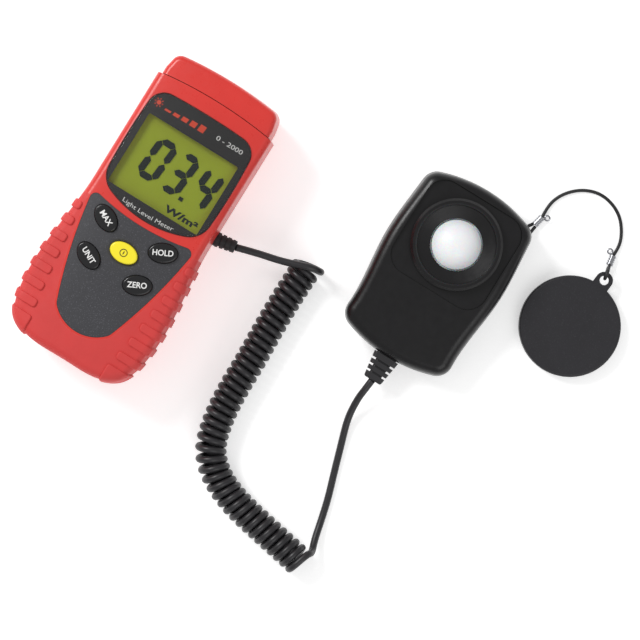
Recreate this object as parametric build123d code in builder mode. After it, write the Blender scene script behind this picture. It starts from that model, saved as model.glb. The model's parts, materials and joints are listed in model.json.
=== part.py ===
"""Hand-held light meter: keypad and display housing, curly cord, sensor head and tethered sensor cap.

The origin is the middle of the housing's flat back. +Z leaves the display, +Y runs to the housing's
top end and +X runs across it, towards the sensor head. Everything lies on the plane z = 0.
"""

import math
import os

from build123d import *

os.makedirs("parts", exist_ok=True)

# ---- Driving dimensions, millimetres ----------------------------------------------------------

# Meter housing, measured from the middle of its back
PARTING = 15.0  # height where the front and rear halves meet
SPLIT_GAP = 0.15  # half-to-half and case-to-cap clearance
BODY_HALF = 27.8  # half width above the handle
STOCK_TOP = 58.0  # the halves are drawn past the seam, then cut back to it
HANDLE_START = 4.0
FOOT_Y = -66.5
CROWN_TOP = 36.5
CROWN_RADIUS = 170.0
FRONT_LEAN = 1.2 / 21.5  # how far a front wall leans in for each millimetre of height
REAR_LEAN = 1.8 / 15.0
FRONT_EDGE = 3.5
REAR_EDGE = 4.0
WALL = 3.0

# Rubber skin of the handle
SKIN = 1.5
RIB_PROUD = 0.9
RIB_WIDTH = 3.7
FRONT_RIB_ROUND = 0.55
REAR_RIB_ROUND = 0.3
GRIP_TOP = -3.2
GRIP_RIM = 0.9  # hard rim left round the keypad
REAR_GRIP_X = 19.0

# Top cap
CAP_HALF = 26.1
CAP_TOP = 66.5
CAP_CROWN = 36.1
CAP_EDGE = 2.6
CAP_WALL = 2.5
SEAM_MIDDLE = 55.5
SEAM_SIDE = 53.7

# Lens, printed mask and display
LENS_PROUD = 1.5
LENS_SEAT = 0.9  # how far the lens's underside lies below the crown
MASK_THICK = 0.25
LENS_BEVEL = 1.3
WINDOW = (21.05, 5.3, 37.4)  # half width, bottom, top
LCD_TOP = 31.5
LCD_THICK = 2.8

# Keypad
PANEL_TOP = 0.1
PANEL_THICK = 1.2
KEY_HALF = (6.05, 4.05)
KEY_PROUD = 1.3
KEY_ROUND = 0.8
KEY_GAP = 0.22
KEY_FLANGE = (30.9, 1.0, 1.0)  # height of its underside, thickness, how much wider than the key
DISH = (7.9, 5.3)
DISH_DEEP = 0.45

# Circuit board and battery
BOARD_BASE = 22.5
BOARD_THICK = 1.6
POSTS = [(x, y) for x in (-20.5, 20.5) for y in (-48.0, 45.0)]
POST_R = 3.2
POST_BASE = 1.7  # inside the floor, clear of the skin below it
SCREW_R = 1.15
BATTERY = (26.5, 46.4, 17.5)
BATTERY_TOP_Y = -11.6
BATTERY_BASE = 2.3
BAY_HALF = 14.0
BAY_Y = (-58.5, -5.7)
BAY_WALL = 1.2
BAY_TOP = 20.4
DOOR_HALF = 17.0
DOOR_THICK = 1.8
DOOR_TOP_Y = -4.8
DOOR_RAIL = 1.0
DOOR_GAP = 0.15

# Cord, its coil and its strain reliefs
CORD_D = 3.0
COIL_D = 13.2
METER_EXIT = (27.6, 8.2, PARTING)
METER_EXIT_TURN = 8.8  # degrees from +X towards +Y
BOOT_LENGTH = 9.0
BOOT_START = 0.75  # where its cone starts, just clear of the leaning wall
BOOT_ROOT_R = 3.15
BOOT_TIP_R = 2.6
BOOT_NECK_R = 2.95
BOOT_FLANGE = (-5.6, 1.2, 4.4)  # place along the exit, thickness, radius

# Sensor head, measured from the middle of its back
HEAD_X = 112.7
HEAD_Y = 44.0
HEAD_LENGTH = 80.0
HEAD_CORNER = 7.0
HEAD_SPLIT = 9.0
HEAD_TOP = 21.0
HEAD_CROWN_Y = 25.0
HEAD_CROWN_RADIUS = 500.0
HEAD_LEAN = 1.0 / 12.0
HEAD_EDGE = 4.5
HEAD_REAR_EDGE = 3.0
HEAD_WALL = 2.5
RECESS = (22.0, -7.7, 35.1, 8.5)  # half width, bottom, top, corner radius
PLATE_TOP = 19.4
PLATE_THICK = 1.2
DOME_Y = 13.8
COLLAR_R = 18.9
COLLAR_TOP = 23.4
COLLAR_INNER_R = 16.2
DOME_R = 10.1
DOME_BASE = 20.1
DOME_RISE = 5.1
DOME_WALL = 1.6
DOME_FLANGE = (12.2, 1.0)  # radius, thickness
OPTIC_BORE = 13.0
HEAD_POSTS = ((-19.0, -24.0), (19.0, -24.0), (-15.5, 28.5), (15.5, 28.5))
SENSOR_BOARD_BASE = 11.3
TETHER_POST = (21.4, 32.9)
TETHER_POST_R = 1.0
TETHER_BOSS_R = 6.4
TETHER_SLOT = (1.5, 6.5)  # heights of the slot's floor and roof
HEAD_BOOT_TIP = (112.7, -7.4, 9.0)
HEAD_BOOT_ROOT_Y = 4.0

# Sensor cap and its tether
LID_X = 170.5
LID_Y = 54.4
LID_R = 21.0
LID_INNER_R = 19.2
LID_HEIGHT = 6.5
LID_PLATE = 1.5
LID_EDGE = 1.1
EAR_TURN = 5.0  # degrees from +Y towards +X
EAR_REACH = 23.5
EAR_R = 3.6
EAR_HOLE_R = 1.9
TETHER_D = 1.4
EAR_LOOP_R = 1.95
CRIMP_R = 1.5
EYELET_R = 1.0
EYELET_WIRE_R = 0.36


# ---- Outlines -----------------------------------------------------------------------------------

# The handle's right side, from the waist to the middle of the foot: x, y and the way the wall faces
HANDLE = (
    (28.7, -11.0, 4.5),
    (30.3, -28.0, 3.0),
    (30.7, -39.0, 0.0),
    (30.2, -47.0, -6.0),
    (29.0, -54.0, -14.0),
    (25.3, -61.5, -45.0),
    (17.7, -65.6, -79.0),
    (0.0, FOOT_Y, -90.0),
)
# The sensor head's right side, between its two rounded corners
HEAD_SIDE = (
    (25.4, 34.6, 4.0),
    (26.5, 21.0, 5.0),
    (27.4, 5.0, 0.0),
    (26.7, -5.5, -7.0),
    (25.6, -15.0, -3.0),
    (25.6, -34.6, 2.0),
)


def moved_in(points, inset):
    """The points of an outline, each moved against the way its wall faces."""
    return [
        (x - inset * math.cos(math.radians(facing)), y - inset * math.sin(math.radians(facing)))
        for x, y, facing in points
    ]


def meter_plan(inset):
    """Plan of the housing's halves."""
    with BuildSketch() as plan:
        with BuildLine():
            top = Line((0, STOCK_TOP), (BODY_HALF - inset, STOCK_TOP))
            side = Line(top @ 1, (BODY_HALF - inset, HANDLE_START))
            Spline(side @ 1, *moved_in(HANDLE, inset), tangents=((0, -1), (-1, 0)))
            mirror(about=Plane.YZ)
        make_face()
    return plan.sketch


def cap_plan(inset):
    """Plan of the top cap, drawn past the seam."""
    half = CAP_HALF - inset
    with BuildSketch() as plan:
        with BuildLine():
            side = Line((half, SEAM_SIDE - 4), (half, 57.0))
            shoulder = Line(side @ 1, (half - 1.4, CAP_TOP - 1.7 - inset))
            top = ThreePointArc(
                shoulder @ 1, (0, CAP_TOP - inset), (1.4 - half, CAP_TOP - 1.7 - inset)
            )
            left = Line(top @ 1, (-half, 57.0))
            Polyline(left @ 1, (-half, SEAM_SIDE - 4), side @ 0)
        make_face()
        fillet(plan.vertices().group_by(Axis.Y)[-1], max(5.0 - inset, 1.0))
    return plan.sketch


def head_plan(inset):
    """Plan of the sensor head about its own middle."""
    end = HEAD_LENGTH / 2 - inset
    side = moved_in(HEAD_SIDE, inset)
    top_x, top_y = side[0][0], side[0][1] - inset
    foot_x, foot_y = side[-1][0], side[-1][1] + inset
    with BuildSketch() as plan:
        with BuildLine():
            top = ThreePointArc((-top_x, top_y), (0, end), (top_x, top_y))
            right = Spline(top @ 1, *side[1:-1], (foot_x, foot_y))
            foot = ThreePointArc(right @ 1, (0, -end), (-foot_x, foot_y))
            Spline(foot @ 1, *[(-x, y) for x, y in side[-2:0:-1]], top @ 0)
        make_face()
        fillet(plan.vertices().group_by(Axis.Y)[-1], HEAD_CORNER - inset)
        fillet(plan.vertices().group_by(Axis.Y)[0], HEAD_CORNER - inset)
    return plan.sketch


def bowed_plan(top, side, foot, rounds, grow):
    """A plan inside four bowed sides, grown outwards; top, right side and foot are three points each."""
    left = [(-x, y) for x, y in reversed(side)]
    bows = [Edge.make_three_point_arc(*points) for points in (top, side, foot, left)]

    def pushed_out(place, way_in, way_out):
        """A corner's or a middle's place once both walls that meet there have moved out."""
        first = Vector(-way_in.Y, way_in.X)
        second = Vector(-way_out.Y, way_out.X)
        return place + (first + second) * (grow / (1 + first.dot(second)))

    with BuildSketch() as plan:
        with BuildLine():
            for before, bow, after in zip(bows[-1:] + bows, bows, bows[1:] + bows[:1]):
                ThreePointArc(
                    pushed_out(bow @ 0, before % 1, bow % 0),
                    pushed_out(bow @ 0.5, bow % 0.5, bow % 0.5),
                    pushed_out(bow @ 1, bow % 1, after % 0),
                )
        make_face()
        fillet(plan.vertices().group_by(Axis.Y)[-1], rounds[0] + grow)
        fillet(plan.vertices().group_by(Axis.Y)[0], rounds[1] + grow)
    return plan.sketch


def keypad_plan(grow):
    """Shield-shaped plan of the keypad panel."""
    top = ((-24.2, -0.2), (0, -3.3), (24.2, -0.2))
    side = ((24.2, -0.2), (20.0, -23.6), (12.6, -47.6))
    foot = ((12.6, -47.6), (0, -53.4), (-12.6, -47.6))
    return bowed_plan(top, side, foot, (2.6, 5.0), grow)


def lens_plan(grow):
    """Plan of the display lens."""
    top = ((-23.3, 48.0), (0, 48.9), (23.3, 48.0))
    side = ((23.3, 48.0), (24.4, 24.0), (23.5, 5.2))
    foot = ((23.5, 5.2), (0, -1.1), (-23.5, 5.2))
    return bowed_plan(top, side, foot, (7.5, 10.0), grow)


def seam_plan(shift):
    """Everything below the arched seam, with the seam moved up by shift."""
    with BuildSketch() as plan:
        with BuildLine():
            seam = ThreePointArc(
                (-40, SEAM_SIDE - 2.4 + shift), (0, SEAM_MIDDLE + shift), (40, SEAM_SIDE - 2.4 + shift)
            )
            Polyline(seam @ 1, (40, -80), (-40, -80), seam @ 0)
        make_face()
    return plan.sketch


# ---- Solids that several pieces are cut from -------------------------------------------------


def drafted(plan, low, high, base=Plane.XY):
    """A solid between two levels of one plan, each level given as its height and its inset."""
    with BuildPart() as solid:
        for height, inset in (low, high):
            with BuildSketch(base.offset(height)):
                add(plan(inset))
        loft(ruled=True)
    return solid.part


def prism(plan, low, high):
    """A plan pulled straight up from one height to another."""
    with BuildPart() as solid:
        with BuildSketch(Plane.XY.offset(low)):
            add(plan)
        extrude(amount=high - low)
    return solid.part


def crown(inset):
    """Everything under the housing's crowned face."""
    with BuildPart() as under:
        with Locations((0, 0, CROWN_TOP - CROWN_RADIUS)):
            Cylinder(CROWN_RADIUS - inset, 200, rotation=(90, 0, 0))
    return under.part


def crown_slab(plan, top, bottom):
    """The layer of a plan between two depths below the crown."""
    with BuildPart() as slab:
        add(prism(plan, 25, 45))
        add(crown(top), mode=Mode.INTERSECT)
        add(crown(bottom), mode=Mode.SUBTRACT)
    return slab.part


def front_block(inset, base=PARTING + SPLIT_GAP):
    """The front half of the housing, filled, with every wall moved in."""
    with BuildPart() as block:
        top_inset = inset + FRONT_LEAN * (45.0 - base)
        add(drafted(meter_plan, (base, inset), (45.0, top_inset)))
        add(crown(inset), mode=Mode.INTERSECT)
        face = block.faces().filter_by(GeomType.CYLINDER).sort_by(Axis.Z)[-1]
        rim = face.edges().filter_by(lambda edge: edge.center().Y < STOCK_TOP - 1)
        fillet(rim, max(FRONT_EDGE - inset, 0.5))
    return block.part


def rear_block(inset):
    """The rear half of the housing, filled, with every wall moved in."""
    with BuildPart() as block:
        low_inset = inset + REAR_LEAN * (PARTING - max(inset, 0))
        add(drafted(meter_plan, (max(inset, 0), low_inset), (PARTING, inset)))
        face = block.faces().sort_by(Axis.Z)[0]
        rim = face.edges().filter_by(lambda edge: edge.center().Y < STOCK_TOP - 1)
        fillet(rim, max(REAR_EDGE - inset, 0.5))
    return block.part


def cap_block(inset):
    """The top cap, filled, with every wall moved in."""
    with BuildPart() as block:
        for height, level in ((inset, inset + 1.8), (PARTING, inset), (CAP_CROWN + 6, inset + 1.4)):
            with BuildSketch(Plane.XY.offset(height)):
                add(cap_plan(level))
        loft(ruled=True)
        with Locations((0, 0, CAP_CROWN - CROWN_RADIUS)):
            Cylinder(CROWN_RADIUS - inset, 200, rotation=(90, 0, 0), mode=Mode.INTERSECT)
        ends = (
            block.faces().filter_by(GeomType.CYLINDER).sort_by(Axis.Z)[-1],
            block.faces().sort_by(Axis.Z)[0],
        )
        for face, radius in zip(ends, (CAP_EDGE, REAR_EDGE - 0.8)):
            rim = face.edges().filter_by(lambda edge: edge.center().Y > SEAM_SIDE - 3)
            fillet(rim, max(radius - inset, 0.4))
    return block.part


def head_block(low, high, inset, edge):
    """The sensor head between two heights, filled, with the rim of its outer end rounded."""
    middle = Plane((HEAD_X, HEAD_Y, 0))
    with BuildPart() as block:
        low_inset = inset + HEAD_LEAN * max(HEAD_SPLIT - low, 0)
        high_inset = inset + HEAD_LEAN * max(high - HEAD_SPLIT, 0)
        add(drafted(head_plan, (low, low_inset), (high, high_inset), middle))
        if high > HEAD_SPLIT:
            with Locations((HEAD_X, HEAD_Y + HEAD_CROWN_Y, HEAD_TOP - HEAD_CROWN_RADIUS)):
                Cylinder(
                    HEAD_CROWN_RADIUS - inset, 120, rotation=(0, 90, 0), mode=Mode.INTERSECT
                )
            rim = block.faces().filter_by(GeomType.CYLINDER).sort_by(Axis.Z)[-1].edges()
        else:
            rim = block.faces().sort_by(Axis.Z)[0].edges()
        fillet(rim, max(edge - inset, 0.5))
    return block.part


def at_head(x, y, z=0.0):
    """A place on the sensor head, given from the middle of its back."""
    return (HEAD_X + x, HEAD_Y + y, z)


front_full = front_block(0.0)
front_core = front_block(SKIN)
rear_full = rear_block(0.0)
rear_core = rear_block(SKIN)

# The handle's rubber covers everything below GRIP_TOP outside the keypad's rim, and at the back
# everything outside the battery door's strip
front_grip_zone = prism(Plane.XY * Rectangle(80, 80, align=(Align.CENTER, Align.MAX)), 10, 45)
front_grip_zone = Pos(0, GRIP_TOP, 0) * front_grip_zone - prism(keypad_plan(GRIP_RIM), 5, 50)
rear_grip_zone = Pos(0, GRIP_TOP, 0) * Box(80, 80, 40, align=(Align.CENTER, Align.MAX, Align.CENTER))
rear_grip_zone -= Box(2 * REAR_GRIP_X, 200, 60)

below_seam = prism(seam_plan(-SPLIT_GAP), -5, 50)
meter_exit_plane = Plane(
    origin=METER_EXIT,
    z_dir=(math.cos(math.radians(METER_EXIT_TURN)), math.sin(math.radians(METER_EXIT_TURN)), 0),
)
meter_boot_tip = meter_exit_plane.from_local_coords((0, 0, BOOT_LENGTH))


# ---- Ribs of the handle ------------------------------------------------------------------------

# Each rib's middle and how close it comes to the centreline; the last is the pad on the corner
RIBS = (
    (-9.2, 24.7),
    (-16.3, 23.9),
    (-23.6, 22.8),
    (-30.7, 22.0),
    (-37.8, 21.2),
    (-45.0, 20.3),
    (-52.3, 19.2),
)
CORNER_PAD = (-57.2, 18.0)


def rib_bands(low, high, inner_x=None):
    """Upright bands where the ribs stand, on both sides, between two heights."""
    with BuildPart() as bands:
        with BuildSketch(Plane.XY.offset(low)):
            for side in (-1, 1):
                for middle, reach in RIBS:
                    start = inner_x or reach
                    with Locations((side * (start + 10), middle)):
                        RectangleRounded(20, RIB_WIDTH, 1.2)
                start = inner_x or CORNER_PAD[1]
                with Locations((side * (start + 10), CORNER_PAD[0] - 10)):
                    RectangleRounded(20, 20, 1.2)
        extrude(amount=high - low)
    return bands.part


def outer_rim(rib):
    """The edges round a rib's outer face, without those along its foot."""
    outer = [
        face
        for face in rib.faces()
        if face.geom_type == GeomType.BSPLINE
        or (face.geom_type == GeomType.CYLINDER and abs(face.normal_at(face.center()).Z) > 0.5)
    ]
    rim = ShapeList()
    for edge in ShapeList(edge for face in outer for edge in face.edges()):
        owners = sum(any(edge.is_same(other) for other in face.edges()) for face in outer)
        if owners == 1 and edge.bounding_box().size.Z > 0.01:
            rim.append(edge)
    return rim


def rounded_ribs(block, bands, radius):
    """Ribs cut from a block, with the rims of their outer faces rounded over."""
    with BuildPart() as plain:
        add(block)
        add(bands, mode=Mode.INTERSECT)
    with BuildPart() as ribs:
        for rib in plain.solids():
            add(rib.fillet(radius, outer_rim(rib)))
    return ribs.part


front_ribs = rounded_ribs(front_block(-RIB_PROUD), rib_bands(10, 45), FRONT_RIB_ROUND)
rear_ribs = rounded_ribs(rear_block(-RIB_PROUD), rib_bands(3.2, PARTING, 26.0), REAR_RIB_ROUND)


def key_plan(turn, half, grow=0.0):
    """An oval key, with its long side turned by so many degrees."""
    with BuildSketch() as plan:
        Ellipse(half[0] + grow, half[1] + grow, rotation=turn)
    return plan.sketch


def in_place(plan, place):
    """A plan moved to a place on the face."""
    return Pos(*place, 0) * plan


# ---- Meter housing -----------------------------------------------------------------------------

# Keys: node name, place, turn of the long side
KEYS = (
    ("button_upper_left", (-13.5, -8.0), -27.0),
    ("button_upper_right", (13.5, -8.0), 26.0),
    ("button_lower_left", (-11.5, -24.5), -27.0),
    ("button_lower_right", (11.5, -24.5), 26.0),
    ("button_power", (0.0, -16.2), 0.0),
)
key_holes = [
    prism(in_place(key_plan(turn, KEY_HALF, KEY_GAP), place), 26, 45) for _, place, turn in KEYS
]
lens_pocket = crown_slab(lens_plan(0.1), -5, LENS_SEAT + MASK_THICK)
panel_pocket = crown_slab(keypad_plan(0.0), -5, PANEL_TOP + PANEL_THICK)

with BuildPart() as front_case:
    add(front_full)
    add(front_grip_zone, mode=Mode.SUBTRACT)
    add(front_core & front_grip_zone)
    add(front_block(WALL, PARTING - 1), mode=Mode.SUBTRACT)
    with Locations(*[(x, y, BOARD_BASE + BOARD_THICK + 0.1) for x, y in POSTS]):
        Cylinder(POST_R, 8.5, align=(Align.CENTER, Align.CENTER, Align.MIN))
    add(below_seam, mode=Mode.INTERSECT)
    add(lens_pocket, mode=Mode.SUBTRACT)
    add(panel_pocket, mode=Mode.SUBTRACT)
    with Locations((0, (WINDOW[1] + WINDOW[2]) / 2, 30)):
        Box(2 * WINDOW[0] + 0.8, WINDOW[2] - WINDOW[1] + 0.8, 20, mode=Mode.SUBTRACT)
    for hole in key_holes:
        add(hole, mode=Mode.SUBTRACT)
    with Locations(*[(x, y, BOARD_BASE) for x, y in POSTS]):
        Cylinder(
            SCREW_R + 0.02, 9.0, align=(Align.CENTER, Align.CENTER, Align.MIN), mode=Mode.SUBTRACT
        )
    with Locations(meter_exit_plane.offset(-6)):
        Cylinder(BOOT_NECK_R + 0.05, 12, align=(Align.CENTER, Align.CENTER, Align.MIN), mode=Mode.SUBTRACT)
front_case.part.label = "front_case"
export_step(front_case.part, "parts/front_case.step")

with BuildPart() as front_grip:
    add(front_full)
    add(front_ribs)
    add(front_core, mode=Mode.SUBTRACT)
    add(front_grip_zone, mode=Mode.INTERSECT)
front_grip.part.label = "front_grip"
export_step(front_grip.part, "parts/front_grip.step")

rear_hollow = drafted(
    meter_plan, (WALL, WALL + REAR_LEAN * (PARTING - WALL)), (PARTING + 1, WALL)
)
with BuildPart() as rear_case:
    add(rear_full)
    add(rear_grip_zone, mode=Mode.SUBTRACT)
    add(rear_core & rear_grip_zone)
    add(rear_hollow, mode=Mode.SUBTRACT)
    bay_middle = (BAY_Y[0] + BAY_Y[1]) / 2
    bay_length = BAY_Y[1] - BAY_Y[0]
    with Locations((0, bay_middle, 1.0)):
        Box(
            2 * (BAY_HALF + BAY_WALL),
            bay_length + 2 * BAY_WALL,
            BAY_TOP - 1.0,
            align=(Align.CENTER, Align.CENTER, Align.MIN),
        )
    with Locations(*[(x, y, POST_BASE) for x, y in POSTS]):
        Cylinder(POST_R, BOARD_BASE - 0.1 - POST_BASE, align=(Align.CENTER, Align.CENTER, Align.MIN))
    add(below_seam, mode=Mode.INTERSECT)
    with Locations((0, bay_middle, -1)):
        Box(2 * BAY_HALF, bay_length, 40, align=(Align.CENTER, Align.CENTER, Align.MIN), mode=Mode.SUBTRACT)
    door_space_y = DOOR_TOP_Y + DOOR_GAP
    with Locations((0, door_space_y, -1)):
        Box(
            2 * (DOOR_HALF + DOOR_GAP),
            90,
            1 + DOOR_THICK + DOOR_GAP / 2,
            align=(Align.CENTER, Align.MAX, Align.MIN),
            mode=Mode.SUBTRACT,
        )
    with Locations((0, door_space_y - 1.0, 0.9 - DOOR_GAP)):
        Box(
            2 * (DOOR_HALF + DOOR_RAIL + DOOR_GAP),
            90,
            DOOR_THICK - 0.9 + 1.5 * DOOR_GAP,
            align=(Align.CENTER, Align.MAX, Align.MIN),
            mode=Mode.SUBTRACT,
        )
    with Locations(*[(x, y, -1) for x, y in POSTS]):
        Cylinder(SCREW_R + 0.2, 40, align=(Align.CENTER, Align.CENTER, Align.MIN), mode=Mode.SUBTRACT)
        Cylinder(2.5, 16, align=(Align.CENTER, Align.CENTER, Align.MIN), mode=Mode.SUBTRACT)
    with Locations(meter_exit_plane.offset(-6)):
        Cylinder(BOOT_NECK_R + 0.05, 12, align=(Align.CENTER, Align.CENTER, Align.MIN), mode=Mode.SUBTRACT)
rear_case.part.label = "rear_case"
export_step(rear_case.part, "parts/rear_case.step")

with BuildPart() as rear_grip:
    add(rear_full)
    add(rear_ribs)
    add(rear_core, mode=Mode.SUBTRACT)
    add(rear_grip_zone, mode=Mode.INTERSECT)
    with Locations(*[(x, y, -1) for x, y in POSTS]):
        Cylinder(2.5, 20, align=(Align.CENTER, Align.CENTER, Align.MIN), mode=Mode.SUBTRACT)
rear_grip.part.label = "rear_grip"
export_step(rear_grip.part, "parts/rear_grip.step")

with BuildPart() as top_cap:
    add(cap_block(0.0))
    add(prism(seam_plan(SPLIT_GAP), -5, 60), mode=Mode.SUBTRACT)
    add(cap_block(CAP_WALL), mode=Mode.SUBTRACT)
top_cap.part.label = "top_cap"
export_step(top_cap.part, "parts/top_cap.step")

with BuildPart() as battery_door:
    with Locations((0, DOOR_TOP_Y, 0)):
        Box(2 * DOOR_HALF, 80, DOOR_THICK, align=(Align.CENTER, Align.MAX, Align.MIN))
    with Locations((0, DOOR_TOP_Y - 1.2, 0.9)):
        Box(
            2 * (DOOR_HALF + DOOR_RAIL),
            52,
            DOOR_THICK - 0.9,
            align=(Align.CENTER, Align.MAX, Align.MIN),
        )
    with Locations(*[(0, -14.0 - 2.2 * step, -0.4) for step in range(5)]):
        Box(15, 0.9, 0.8, mode=Mode.SUBTRACT)
    add(rear_full, mode=Mode.INTERSECT)
battery_door.part.label = "battery_door"
export_step(battery_door.part, "parts/battery_door.step")


# ---- Lens, mask and display --------------------------------------------------------------------

with BuildPart() as display_lens:
    add(crown_slab(lens_plan(0.0), -LENS_PROUD, LENS_SEAT))
    face = display_lens.faces().filter_by(GeomType.CYLINDER).sort_by(Axis.Z)[-1]
    fillet(face.edges(), LENS_BEVEL)
display_lens.part.label = "display_lens"
export_step(display_lens.part, "parts/display_lens.step")

with BuildPart() as display_mask:
    add(crown_slab(lens_plan(-0.15), LENS_SEAT + 0.02, LENS_SEAT + MASK_THICK))
    with BuildSketch(Plane.XY.offset(25)):
        with Locations((0, (WINDOW[1] + WINDOW[2]) / 2)):
            RectangleRounded(2 * WINDOW[0], WINDOW[2] - WINDOW[1], 0.8)
    extrude(amount=20, mode=Mode.SUBTRACT)
display_mask.part.label = "display_mask"
export_step(display_mask.part, "parts/display_mask.step")

LCD_MIDDLE_Y = 21.4
LCD_SIZE = (46.2, 36.0)
with BuildPart() as lcd_panel:
    with Locations((0, LCD_MIDDLE_Y, LCD_TOP - LCD_THICK)):
        Box(*LCD_SIZE, LCD_THICK, align=(Align.CENTER, Align.CENTER, Align.MIN))
    chamfer(lcd_panel.edges().group_by(Axis.Z)[-1], 0.3)
lcd_panel.part.label = "lcd_panel"
export_step(lcd_panel.part, "parts/lcd_panel.step")

with BuildPart() as lcd_backlight:
    with Locations((0, LCD_MIDDLE_Y, 25.3)):
        Box(43.0, 33.0, 3.2, align=(Align.CENTER, Align.CENTER, Align.MIN))
    fillet(lcd_backlight.edges().filter_by(Axis.Z), 1.5)
lcd_backlight.part.label = "lcd_backlight"
export_step(lcd_backlight.part, "parts/lcd_backlight.step")

with BuildPart() as lcd_frame:
    with Locations((0, LCD_MIDDLE_Y, BOARD_BASE + BOARD_THICK)):
        Box(47.4, 37.4, 6.8, align=(Align.CENTER, Align.CENTER, Align.MIN))
        Box(43.4, 33.4, 20, mode=Mode.SUBTRACT)
    with Locations((0, LCD_MIDDLE_Y, LCD_TOP - LCD_THICK - 0.05)):
        Box(
            LCD_SIZE[0] + 0.2,
            LCD_SIZE[1] + 0.2,
            10,
            align=(Align.CENTER, Align.CENTER, Align.MIN),
            mode=Mode.SUBTRACT,
        )
lcd_frame.part.label = "lcd_frame"
export_step(lcd_frame.part, "parts/lcd_frame.step")


# ---- Keypad ------------------------------------------------------------------------------------

POWER_KEY_Y = KEYS[-1][1][1]
with BuildPart() as keypad_panel:
    add(crown_slab(keypad_plan(-0.12), PANEL_TOP, PANEL_TOP + PANEL_THICK - 0.02))
    for hole in key_holes:
        add(hole, mode=Mode.SUBTRACT)
    with BuildSketch(Plane((0, POWER_KEY_Y, CROWN_TOP - PANEL_TOP))):
        Ellipse(*DISH)
    with BuildSketch(Plane((0, POWER_KEY_Y, CROWN_TOP - PANEL_TOP - DISH_DEEP))):
        Ellipse(DISH[0] - 1.5, DISH[1] - 1.0)
    loft(mode=Mode.SUBTRACT)
keypad_panel.part.label = "keypad_panel"
export_step(keypad_panel.part, "parts/keypad_panel.step")

for node, place, turn in KEYS:
    with BuildPart() as key:
        add(prism(in_place(key_plan(turn, KEY_HALF), place), KEY_FLANGE[0], 45))
        add(crown(-KEY_PROUD), mode=Mode.INTERSECT)
        fillet(key.edges().filter_by(lambda edge: edge.center().Z > CROWN_TOP - 3), KEY_ROUND)
        add(
            prism(
                in_place(key_plan(turn, KEY_HALF, KEY_FLANGE[2]), place),
                KEY_FLANGE[0],
                KEY_FLANGE[0] + KEY_FLANGE[1],
            )
        )
    key.part.label = node
    export_step(key.part, f"parts/{node}.step")

MAT_BASE = BOARD_BASE + BOARD_THICK
MAT_THICK = 0.8
with BuildPart() as keypad_mat:
    with Locations((0, -17.2, MAT_BASE)):
        Box(42, 30, MAT_THICK, align=(Align.CENTER, Align.CENTER, Align.MIN))
    fillet(keypad_mat.edges().filter_by(Axis.Z), 3.0)
    with Locations(*[(*place, MAT_BASE) for _, place, _ in KEYS]):
        Cone(4.2, 2.6, 5.4, align=(Align.CENTER, Align.CENTER, Align.MIN))
        Cone(3.2, 1.8, 3.6, align=(Align.CENTER, Align.CENTER, Align.MIN), mode=Mode.SUBTRACT)
keypad_mat.part.label = "keypad_mat"
export_step(keypad_mat.part, "parts/keypad_mat.step")

with BuildPart() as contact_pads:
    with Locations(*[(*place, MAT_BASE) for _, place, _ in KEYS]):
        Cylinder(1.7, 0.3, align=(Align.CENTER, Align.CENTER, Align.MIN))
contact_pads.part.label = "contact_pads"
export_step(contact_pads.part, "parts/contact_pads.step")


# ---- Circuit board, battery and screws ---------------------------------------------------------

with BuildPart() as main_board:
    with Locations((0, -2.5, BOARD_BASE)):
        Box(46.0, 105.0, BOARD_THICK, align=(Align.CENTER, Align.CENTER, Align.MIN))
    fillet(main_board.edges().filter_by(Axis.Z), 4.0)
    with Locations(*[(x, y, BOARD_BASE) for x, y in POSTS]):
        Cylinder(SCREW_R + 0.2, 10, mode=Mode.SUBTRACT)
main_board.part.label = "main_board"
export_step(main_board.part, "parts/main_board.step")

# Chips under the board: middle and size across, along and down
CHIPS = (
    ((-8.0, 26.0), (14.0, 14.0, 2.0)),
    ((11.0, 30.0), (8.0, 6.0, 1.6)),
    ((12.0, 16.0), (5.0, 4.0, 1.5)),
    ((-12.0, 8.0), (6.0, 5.0, 1.5)),
    ((-1.0, 40.0), (10.0, 4.0, 3.2)),
)
with BuildPart() as board_chips:
    for place, size in CHIPS:
        with Locations((*place, BOARD_BASE)):
            Box(*size, align=(Align.CENTER, Align.CENTER, Align.MAX))
board_chips.part.label = "board_chips"
export_step(board_chips.part, "parts/board_chips.step")

with BuildPart() as board_capacitors:
    with Locations(*[(x, y, BOARD_BASE) for x, y in ((2.0, 12.0), (8.5, 22.0), (14.0, 40.0))]):
        Cylinder(2.5, 5.4, align=(Align.CENTER, Align.CENTER, Align.MAX))
board_capacitors.part.label = "board_capacitors"
export_step(board_capacitors.part, "parts/board_capacitors.step")

# The header where the cord's cores end
HEADER = (19.0, 8.0, BOARD_BASE - 4.0)
with BuildPart() as cord_header:
    with Locations((HEADER[0], HEADER[1], BOARD_BASE)):
        Box(4.0, 9.0, 4.0, align=(Align.CENTER, Align.CENTER, Align.MAX))
cord_header.part.label = "cord_header"
export_step(cord_header.part, "parts/cord_header.step")

battery_middle = (0, BATTERY_TOP_Y - BATTERY[1] / 2, BATTERY_BASE)
battery_axis_z = BATTERY_BASE + BATTERY[2] / 2
with BuildPart() as battery:
    with Locations(battery_middle):
        Box(*BATTERY, align=(Align.CENTER, Align.CENTER, Align.MIN))
    fillet(battery.edges().filter_by(Axis.Y), 1.8)
    with Locations(
        *[
            Plane((x, BATTERY_TOP_Y, battery_axis_z), z_dir=(0, 1, 0))
            for x in (-6.35, 6.35)
        ]
    ):
        Cylinder(3.2, 2.2, align=(Align.CENTER, Align.CENTER, Align.MIN))
battery.part.label = "battery"
export_step(battery.part, "parts/battery.step")

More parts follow.
